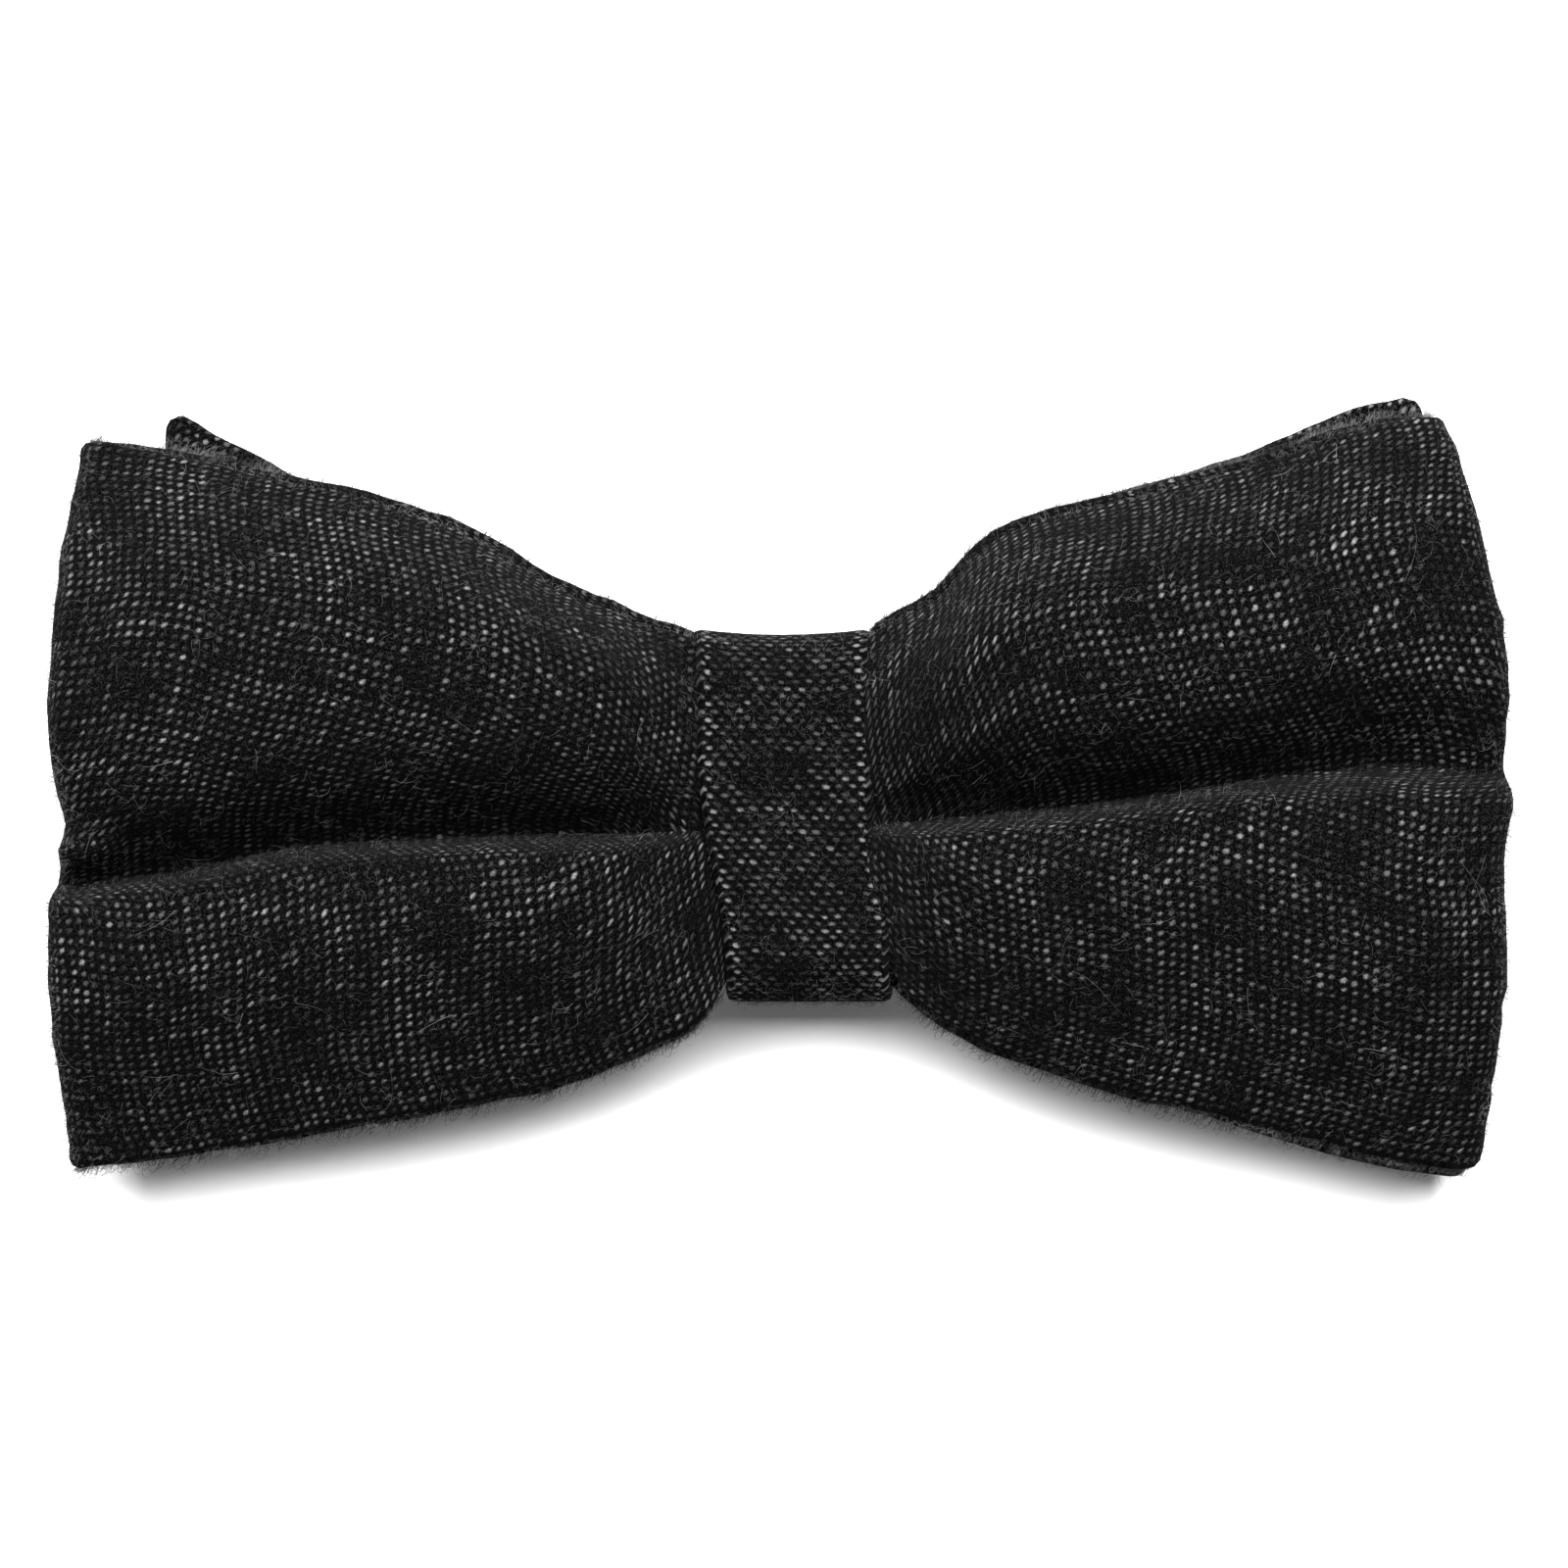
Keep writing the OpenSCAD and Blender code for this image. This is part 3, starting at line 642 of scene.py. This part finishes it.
class Graph:
    """Short names for the shader nodes that the materials share."""

    def __init__(self, name):
        self.material = bpy.data.materials.new(name)
        self.material.use_nodes = True
        self.nodes = self.material.node_tree.nodes
        self.links = self.material.node_tree.links
        self.shader = self.nodes["Principled BSDF"]

    def put(self, socket, value):
        if hasattr(value, "is_output"):
            self.links.new(value, socket)
        else:
            socket.default_value = value

    def math(self, operation, a, b=0.0, c=0.0, clamp=False):
        n = self.nodes.new("ShaderNodeMath")
        n.operation = operation
        n.use_clamp = clamp
        for socket, value in zip(n.inputs, (a, b, c)):
            self.put(socket, value)
        return n.outputs[0]

    def fit(self, value, low, high, to_low=0.0, to_high=1.0, smooth=True):
        n = self.nodes.new("ShaderNodeMapRange")
        n.interpolation_type = "SMOOTHSTEP" if smooth else "LINEAR"
        for socket, given in zip(n.inputs, (value, low, high, to_low, to_high)):
            self.put(socket, given)
        return n.outputs[0]

    def vector(self, x, y, z=0.0):
        n = self.nodes.new("ShaderNodeCombineXYZ")
        for socket, value in zip(n.inputs, (x, y, z)):
            self.put(socket, value)
        return n.outputs[0]

    def noise(self, vector, scale, detail=2.0, rough=0.5, output=0):
        n = self.nodes.new("ShaderNodeTexNoise")
        n.inputs["Scale"].default_value = scale
        n.inputs["Detail"].default_value = detail
        n.inputs["Roughness"].default_value = rough
        self.links.new(vector, n.inputs["Vector"])
        return n.outputs[output]

    def random(self, vector, output=0):
        n = self.nodes.new("ShaderNodeTexWhiteNoise")
        n.noise_dimensions = "2D"
        self.links.new(vector, n.inputs["Vector"])
        return n.outputs[output]

    def split(self, vector):
        n = self.nodes.new("ShaderNodeSeparateXYZ")
        self.links.new(vector, n.inputs[0])
        return n.outputs[0], n.outputs[1], n.outputs[2]

    def blend(self, share, a, b):
        n = self.nodes.new("ShaderNodeMix")
        n.data_type = "RGBA"
        self.put(n.inputs["Factor"], share)
        self.put(n.inputs["A"], a)
        self.put(n.inputs["B"], b)
        return n.outputs["Result"]

    def bump(self, height, distance, strength=1.0):
        n = self.nodes.new("ShaderNodeBump")
        n.inputs["Strength"].default_value = strength
        n.inputs["Distance"].default_value = distance
        self.links.new(height, n.inputs["Height"])
        self.links.new(n.outputs[0], self.shader.inputs["Normal"])


def grey(value):
    return (value, value, value, 1.0)


def wool(name, pitch, float_size, lean, staggered=False, painted_highlight_edge=None, brightness=1.0):
    """Two-tone wool: light yarn floats on a dark ground, heathered, with loose fibres."""
    g = Graph(name)
    uv_node = g.nodes.new("ShaderNodeUVMap")
    uv_node.uv_map = "cloth"
    uv = uv_node.outputs[0]
    u, v, _ = g.split(uv)
    # the yarns waver a little, as wool does
    sway_u, sway_v, _ = g.split(g.noise(uv, 0.22, 1.0, output=1))
    u = g.math("ADD", u, g.math("MULTIPLY", g.math("SUBTRACT", sway_u, 0.5), 0.6))
    v = g.math("ADD", v, g.math("MULTIPLY", g.math("SUBTRACT", sway_v, 0.5), 0.6))
    cell_v = g.math("DIVIDE", v, pitch[1])
    row = g.math("FLOOR", cell_v)
    cell_u = g.math("DIVIDE", u, pitch[0])
    if staggered:
        odd = g.math("FLOORED_MODULO", row, 2.0)
        cell_u = g.math("ADD", cell_u, g.math("MULTIPLY", odd, 0.5))
    column = g.math("FLOOR", cell_u)
    cell = g.vector(column, row)
    own = g.random(cell, 0)
    shift_u, shift_v, size = g.split(g.random(g.vector(row, column), 1))
    x = g.math("MULTIPLY", g.math("SUBTRACT", g.math("FRACT", cell_u), 0.5), pitch[0])
    y = g.math("MULTIPLY", g.math("SUBTRACT", g.math("FRACT", cell_v), 0.5), pitch[1])
    x = g.math("ADD", x, g.math("MULTIPLY", g.math("SUBTRACT", shift_u, 0.5), 0.16))
    y = g.math("ADD", y, g.math("MULTIPLY", g.math("SUBTRACT", shift_v, 0.5), 0.14))
    c, s = math.cos(lean), math.sin(lean)
    along = g.math("ADD", g.math("MULTIPLY", x, c), g.math("MULTIPLY", y, s))
    across = g.math("SUBTRACT", g.math("MULTIPLY", y, c), g.math("MULTIPLY", x, s))
    long_part = g.math("POWER", g.math("ABSOLUTE", g.math("DIVIDE", along, float_size[0] / 2)), 2.0)
    wide_part = g.math("POWER", g.math("ABSOLUTE", g.math("DIVIDE", across, float_size[1] / 2)), 2.0)
    ragged = g.math("MULTIPLY", g.math("SUBTRACT", g.noise(uv, 5.0, 3.0, 0.7), 0.5), 1.5)
    reach = g.math("ADD", g.math("SQRT", g.math("ADD", long_part, wide_part)), ragged)
    reach = g.math("ADD", reach, g.math("MULTIPLY", g.math("SUBTRACT", size, 0.5), 0.35))
    float_mask = g.fit(reach, 1.42, 0.38)
    # heathering: single yarns run light or dark for a few centimetres, and soft patches drift across
    weft = g.noise(g.vector(g.math("MULTIPLY", u, 0.07), g.math("MULTIPLY", row, 3.7)), 1.0, 1.0)
    warp = g.noise(g.vector(g.math("MULTIPLY", column, 3.7), g.math("MULTIPLY", v, 0.07)), 1.0, 1.0)
    patch = g.noise(uv, 0.16, 3.0, 0.62)
    mood = g.math("ADD", g.math("MULTIPLY", weft, 0.40), g.math("MULTIPLY", warp, 0.22))
    mood = g.math("ADD", mood, g.math("MULTIPLY", patch, 0.97))
    mood = g.fit(mood, 0.62, 1.02)
    shine = g.math("MULTIPLY", g.math("POWER", own, 2.6), 0.95)
    level = g.math("MULTIPLY", mood, g.math("ADD", shine, 0.34))
    level = g.math("ADD", level, g.math("MULTIPLY", own, 0.14))
    # painted highlight: a lighter stripe along the long edges, where the turned cloth catches the light
    if painted_highlight_edge:
        from_painted_highlight = g.math("ABSOLUTE", g.math("SUBTRACT", g.math("ABSOLUTE", u), painted_highlight_edge))
        level = g.math("ADD", level, g.math("MULTIPLY", g.fit(from_painted_highlight, 0.55, 0.15), 0.9))
    hair = g.noise(uv, 6.0, 4.0, 0.75)
    level = g.math("MULTIPLY", g.math("MULTIPLY", level, float_mask), g.fit(hair, 0.32, 0.68, 0.45, 1.15))
    # the dark ground, with its own yarns just showing between the floats
    between = g.math("MULTIPLY", g.fit(hair, 0.45, 0.76), 0.19)
    # loose fibres drawn over the weave
    swirl = g.noise(uv, 0.9, 2.0, output=1)
    swirl_u, swirl_v, _ = g.split(swirl)
    warped_u = g.math("ADD", u, g.math("MULTIPLY", swirl_u, 3.4))
    warped_v = g.math("ADD", v, g.math("MULTIPLY", swirl_v, 3.4))
    warped = g.vector(warped_u, warped_v)
    cracks = g.nodes.new("ShaderNodeTexVoronoi")
    cracks.feature = "DISTANCE_TO_EDGE"
    cracks.inputs["Scale"].default_value = 1.3
    g.links.new(warped, cracks.inputs["Vector"])
    where = g.fit(g.noise(uv, 0.8, 2.0), 0.42, 0.66)
    fibre = g.math("MULTIPLY", g.fit(cracks.outputs[0], 0.03, 0.0), where)
    level = g.math("ADD", g.math("ADD", level, between), g.math("MULTIPLY", fibre, 0.07), clamp=True)
    dark, light = grey(0.0006), grey(0.205 * brightness)
    g.links.new(g.blend(level, dark, light), g.shader.inputs["Base Color"])
    height = g.math("ADD", g.math("MULTIPLY", float_mask, 0.8), g.math("MULTIPLY", hair, 0.5))
    height = g.math("ADD", height, g.math("MULTIPLY", fibre, 0.25))
    g.bump(height, 0.00022, 0.9)
    g.shader.inputs["Roughness"].default_value = 0.92
    g.shader.inputs["Specular IOR Level"].default_value = 0.0
    g.shader.inputs["IOR"].default_value = 1.05
    g.shader.inputs["Sheen Weight"].default_value = 0.03
    g.shader.inputs["Sheen Roughness"].default_value = 0.3
    g.shader.inputs["Sheen Tint"].default_value = (0.8, 0.8, 0.8, 1)
    return g.material


def canvas_material():
    """Plain woven interlining."""
    g = Graph("canvas")
    uv_node = g.nodes.new("ShaderNodeUVMap")
    uv_node.uv_map = "cloth"
    u, v, _ = g.split(uv_node.outputs[0])
    warp = g.math("ABSOLUTE", g.math("SINE", g.math("MULTIPLY", u, 6.3)))
    weft = g.math("ABSOLUTE", g.math("SINE", g.math("MULTIPLY", v, 6.3)))
    cloth = g.math("MULTIPLY", warp, weft)
    speck = g.noise(uv_node.outputs[0], 2.2, 3.0)
    tone = g.math("ADD", g.math("MULTIPLY", cloth, 0.6), g.math("MULTIPLY", speck, 0.4))
    g.links.new(g.blend(tone, (0.42, 0.39, 0.32, 1), (0.74, 0.71, 0.63, 1)), g.shader.inputs["Base Color"])
    g.bump(cloth, 0.0002, 0.8)
    g.shader.inputs["Roughness"].default_value = 0.9
    return g.material


def thread_material():
    """Twisted sewing thread."""
    g = Graph("thread")
    place = g.nodes.new("ShaderNodeTexCoord").outputs["Object"]
    x, y, z = g.split(place)
    twist = g.math("SINE", g.math("MULTIPLY", g.math("ADD", g.math("ADD", x, y), z), 9000.0))
    ply = g.fit(twist, -1.0, 1.0)
    g.links.new(g.blend(ply, grey(0.012), grey(0.06)), g.shader.inputs["Base Color"])
    g.bump(ply, 0.00008, 0.7)
    g.shader.inputs["Roughness"].default_value = 0.55
    return g.material


def nickel_material():
    """Nickel plate with fine polishing lines and a little tarnish."""
    g = Graph("nickel")
    place = g.nodes.new("ShaderNodeTexCoord").outputs["Object"]
    x, y, z = g.split(place)
    drawn = g.vector(g.math("MULTIPLY", x, 60.0), g.math("MULTIPLY", y, 4000.0), g.math("MULTIPLY", z, 400.0))
    lines = g.noise(drawn, 1.0, 3.0)
    cloud = g.fit(g.noise(place, 180.0, 4.0), 0.35, 0.7)
    g.links.new(g.blend(cloud, (0.62, 0.60, 0.57, 1), (0.78, 0.77, 0.75, 1)), g.shader.inputs["Base Color"])
    g.links.new(g.fit(lines, 0.3, 0.7, 0.16, 0.34), g.shader.inputs["Roughness"])
    g.bump(lines, 0.00002, 0.4)
    g.shader.inputs["Metallic"].default_value = 1.0
    return g.material


def fibre_material():
    """Single wool fibres, some dark and some light."""
    g = Graph("wool_fibre")
    place = g.nodes.new("ShaderNodeTexCoord").outputs["Object"]
    tone = g.fit(g.noise(place, 260.0, 2.0), 0.3, 0.7)
    g.links.new(g.blend(tone, grey(0.02), grey(0.19)), g.shader.inputs["Base Color"])
    g.shader.inputs["Roughness"].default_value = 0.7
    return g.material


WING_PITCH = (0.90, 0.83)
KNOT_PITCH = (1.20, 0.62)
WING_WOOL = wool("wool_wing", WING_PITCH, (0.56, 0.36), math.radians(42))
# the knot's wool gets a painted highlight along its long edges
KNOT_LOOK = {"staggered": True, "painted_highlight_edge": KNOT_HALF - 0.45, "brightness": 0.85}
KNOT_WOOL = wool("wool_knot", KNOT_PITCH, (0.62, 0.36), math.radians(8), **KNOT_LOOK)
CANVAS = canvas_material()
THREAD = thread_material()
NICKEL = nickel_material()
FIBRE = fibre_material()


def dress(obj, material):
    """Gives a piece its one material."""
    obj.data.materials.clear()
    obj.data.materials.append(material)
    return obj


# ---------------------------------------------------------------- loose fibres


def unit(vectors):
    return vectors / (np.linalg.norm(vectors, axis=-1, keepdims=True) + 1e-9)


FACE_HAIR = (0.007, 0.012)   # the least and greatest radius of a fibre on a face
EDGE_HAIR = (0.011, 0.020)   # and of one that shows against the table
FIBRE_STEPS = 5
FIBRE_SIDES = 3


def fibres(name, grid, away, count, seed, long, rise, stations=None, thick=FACE_HAIR):
    """Thin curled wool fibres, rooted at random places on a cloth's grid, that stand a little off it."""
    rng = np.random.default_rng(seed)
    stations = stations or (0, grid.shape[0] - 1)
    part = grid[stations[0] : stations[1] + 1]
    sides = part[1:, :-1] - part[:-1, :-1], part[:-1, 1:] - part[:-1, :-1]
    area = np.linalg.norm(np.cross(*sides), axis=2)
    cell = rng.choice(area.size, count, p=area.ravel() / area.sum())
    ia, ja = cell // area.shape[1] + stations[0], cell % area.shape[1]
    fi, fj = rng.uniform(0, 1, (count, 1)), rng.uniform(0, 1, (count, 1))
    near = mix(grid[ia, ja], grid[ia + 1, ja], fi)
    far = mix(grid[ia, ja + 1], grid[ia + 1, ja + 1], fi)
    spot, up = mix(near, far, fj), unit(away[ia, ja])
    turn = rng.uniform(0, 2 * math.pi, count)
    rough = np.stack([np.cos(turn), np.sin(turn), np.full(count, 0.3)], axis=1)
    ahead = unit(np.cross(up, rough))
    aside = np.cross(up, ahead)
    length = long[0] + (long[1] - long[0]) * rng.uniform(0, 1, count) ** 2.2
    height = rng.uniform(*rise, count) * length
    bend, twist = rng.normal(0, 1.7, count), rng.normal(0, 1.3, count)
    thin = rng.uniform(*thick, count)
    line = []
    for k in range(FIBRE_STEPS + 1):
        share = k / FIBRE_STEPS
        angle = (bend * share + twist * share * share)[:, None]
        lift = height * math.sin(math.pi * (0.04 + 0.72 * share)) - 0.02
        line.append(spot + up * lift[:, None])
        spot = spot + (ahead * np.cos(angle) + aside * np.sin(angle)) * (length / FIBRE_STEPS)[:, None]
    line = np.array(line)
    way = unit(np.gradient(line, axis=0))
    first = unit(np.cross(way, up[None]))
    second = np.cross(way, first)
    points = []
    for m in range(FIBRE_SIDES):
        b = 2 * math.pi * m / FIBRE_SIDES
        taper = (1 - 0.6 * np.arange(FIBRE_STEPS + 1) / FIBRE_STEPS)[:, None, None] * thin[None, :, None]
        points.append(line + (first * math.cos(b) + second * math.sin(b)) * taper)
    points = np.array(points).transpose(2, 1, 0, 3).reshape(-1, 3)
    one = []
    for k in range(FIBRE_STEPS):
        for m in range(FIBRE_SIDES):
            a, b = k * FIBRE_SIDES + m, k * FIBRE_SIDES + (m + 1) % FIBRE_SIDES
            one.append((a, b, b + FIBRE_SIDES, a + FIBRE_SIDES))
    per = FIBRE_SIDES * (FIBRE_STEPS + 1)
    faces = (np.array(one)[None] + (np.arange(count) * per)[:, None, None]).reshape(-1, 4)
    return build_mesh(name, points, faces.tolist())


def edge_rim(grid, away, thick, row, way):
    """The middle of a band's rounded edge, as a narrow grid for fibres to root on, with its outward way."""
    across = unit(np.gradient(grid, axis=1))[:, row] * way
    spine = grid[:, row] - away[:, row] * thick / 2 + across * thick * 0.47
    high, low = spine + away[:, row] * 0.5, spine - away[:, row] * 0.5
    return np.stack([low, high], axis=1), np.stack([across, across], axis=1)


# ---------------------------------------------------------------- putting it together


def ride_and_replace(obj, body, node):
    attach(obj, body)
    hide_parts(node)


def fuzz(name, *surface, **options):
    """Loose fibres as a piece of their own, on the bow."""
    piece = dress(fibres(name, *surface, **options), FIBRE)
    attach(piece, "bow")


front, front_lining, front_grid, front_out = make_front_bow()
ride_and_replace(dress(front, WING_WOOL), "bow", "front_bow")
ride_and_replace(dress(front_lining, CANVAS), "bow", "front_bow_interlining")

rear, rear_lining, rear_grid, rear_out = make_rear_bow()
ride_and_replace(dress(rear, WING_WOOL), "bow", "rear_bow")
ride_and_replace(dress(rear_lining, CANVAS), "bow", "rear_bow_interlining")

knot, knot_lining, knot_grid, knot_out = make_knot()
ride_and_replace(dress(knot, KNOT_WOOL), "bow", "knot_wrap")
ride_and_replace(dress(knot_lining, CANVAS), "bow", "knot_interlining")

# loose fibres: some on each wing's face and more along its edges, where they show against the table
middle = front_grid.shape[0] // 2
for name, span, seed in (("left", (middle + 8, middle + 77), 31), ("right", (middle - 77, middle - 8), 32)):
    lie = {"count": 6500, "seed": seed, "long": (0.3, 1.9), "rise": (0.12, 0.5), "stations": span}
    fuzz("fuzz_" + name, front_grid, front_out, **lie)
for name, row, way, seed in (("top", -1, 1, 41), ("bottom", 0, -1, 42)):
    rim = edge_rim(front_grid, front_out, FRONT_THICK, row, way)
    lie = {"count": 7500, "seed": seed, "long": (0.25, 1.5), "rise": (0.3, 0.95), "thick": EDGE_HAIR}
    fuzz("fuzz_" + name + "_edge", *rim, **lie)
rear_rim = edge_rim(rear_grid, rear_out, REAR_THICK, -1, 1)
fuzz("fuzz_rear_edge", *rear_rim, count=1800, seed=43, long=(0.25, 1.2), rise=(0.3, 0.9), thick=EDGE_HAIR)
for name, start, seed in (("left", middle + 66, 44), ("right", middle - 76, 45)):
    lie = {"count": 3400, "seed": seed, "long": (0.25, 1.4), "rise": (0.3, 0.95), "thick": EDGE_HAIR}
    fuzz("fuzz_" + name + "_fold", front_grid, front_out, stations=(start, start + 10), **lie)
for name, start, seed in (("left", middle + 10, 61), ("right", middle - 70, 62)):
    lie = {"count": 90, "seed": seed, "long": (1.8, 6.0), "rise": (0.05, 0.2), "thick": EDGE_HAIR}
    fuzz("stray_" + name, front_grid, front_out, stations=(start, start + 60), **lie)
lie = {"count": 2600, "seed": 51, "long": (0.3, 1.6), "rise": (0.12, 0.5)}
fuzz("fuzz_knot", knot_grid, knot_out, stations=(30, 120), **lie)


def band_piece(node, path, body=None, thick=BAND_T):
    """One stretch of the neck band, in place of its CAD node. Without a body, it is left unattached and the
    caller bakes its transform.
    """
    piece = flat_band(node + "_cloth", path, thick, BAND_W)
    dress(piece, WING_WOOL)
    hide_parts(node)
    if body:
        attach(piece, body)
    return piece


def spot(x, z):
    """A point on the band's middle line, in metres."""
    return (x * MM, KNOT_Y * MM, z * MM)


band_piece("band_centre", run_path("band_centre"), "bow")
for side_name, side in (("left", -1), ("right", 1)):
    base = "band_" + side_name
    bend = band_piece(base + "_bend", run_path(base + "_bend", side < 0))
    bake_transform(bend)
    for k in (1, 2, 3):
        here, after = f"{side_name}_{k}", f"{side_name}_{k + 1}"
        band_piece(f"{base}_{k}", run_path(f"{base}_{k}", side < 0), here)
        node = f"{base}_fold_{k}"
        bulge = side if k != 2 else -side
        fold = band_piece(node, turn_path(node, bulge, BAND_T))
        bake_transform(fold)

band_piece("band_left_4", left_end_path(), "left_4")
band_piece("band_right_4", right_end_path(), "right_4")
tail = band_piece("band_left_tail", tail_path(), thick=TAIL_T)
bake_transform(tail)

for node in ("slider", "hook", "eye"):
    dress(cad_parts[node], NICKEL)
seams = ("front_bow_seam", "rear_bow_seam", "knot_seam", "gather_thread")
for node in (*seams, "band_left_stitches", "band_right_stitches"):
    dress(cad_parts[node], THREAD)

# ---------------------------------------------------------------- stage

FLOOR_HALF = 1.5
FLOOR_Z = -0.0004


def add_floor():
    """A white table top that glows a little, as the overexposed one in the photo does."""
    mesh = bpy.data.meshes.new("floor")
    corners = [(x * FLOOR_HALF, y * FLOOR_HALF, FLOOR_Z) for x, y in ((-1, -1), (1, -1), (1, 1), (-1, 1))]
    mesh.from_pydata(corners, [], [(0, 1, 2, 3)])
    floor = bpy.data.objects.new("floor", mesh)
    bpy.context.scene.collection.objects.link(floor)
    g = Graph("floor")
    g.shader.inputs["Base Color"].default_value = (0.93, 0.93, 0.93, 1)
    g.shader.inputs["Roughness"].default_value = 0.9
    g.shader.inputs["Specular IOR Level"].default_value = 0.1
    g.shader.inputs["Emission Color"].default_value = (1, 1, 1, 1)
    g.shader.inputs["Emission Strength"].default_value = 0.12
    mesh.materials.append(g.material)


def add_light(name, place, target, size, power):
    data = bpy.data.lights.new(name, "AREA")
    data.shape = "RECTANGLE"
    data.size, data.size_y = size
    data.energy = power
    light = bpy.data.objects.new(name, data)
    light.location = place
    light.rotation_euler = (Vector(target) - Vector(place)).to_track_quat("-Z", "Y").to_euler()
    bpy.context.scene.collection.objects.link(light)


def add_camera():
    data = bpy.data.cameras.new("camera")
    data.lens = 100
    data.sensor_width = 36
    data.clip_start = 0.01
    camera = bpy.data.objects.new("camera", data)
    camera.location = (0.0004, 0.0, CAMERA_HEIGHT * MM)
    bpy.context.scene.collection.objects.link(camera)
    bpy.context.scene.camera = camera


add_floor()
add_camera()
add_light("sky_light", (0.0, 0.32, 0.655), (0, 0, 0), (0.75, 0.50), 23.0)
world = bpy.data.worlds.new("studio")
world.use_nodes = True
world.node_tree.nodes["Background"].inputs["Color"].default_value = (1, 1, 1, 1)
world.node_tree.nodes["Background"].inputs["Strength"].default_value = 0.09
bpy.context.scene.world = world
bpy.context.scene.view_settings.view_transform = "Standard"
bpy.context.scene.view_settings.look = "None"
bpy.context.scene.view_settings.gamma = 0.8
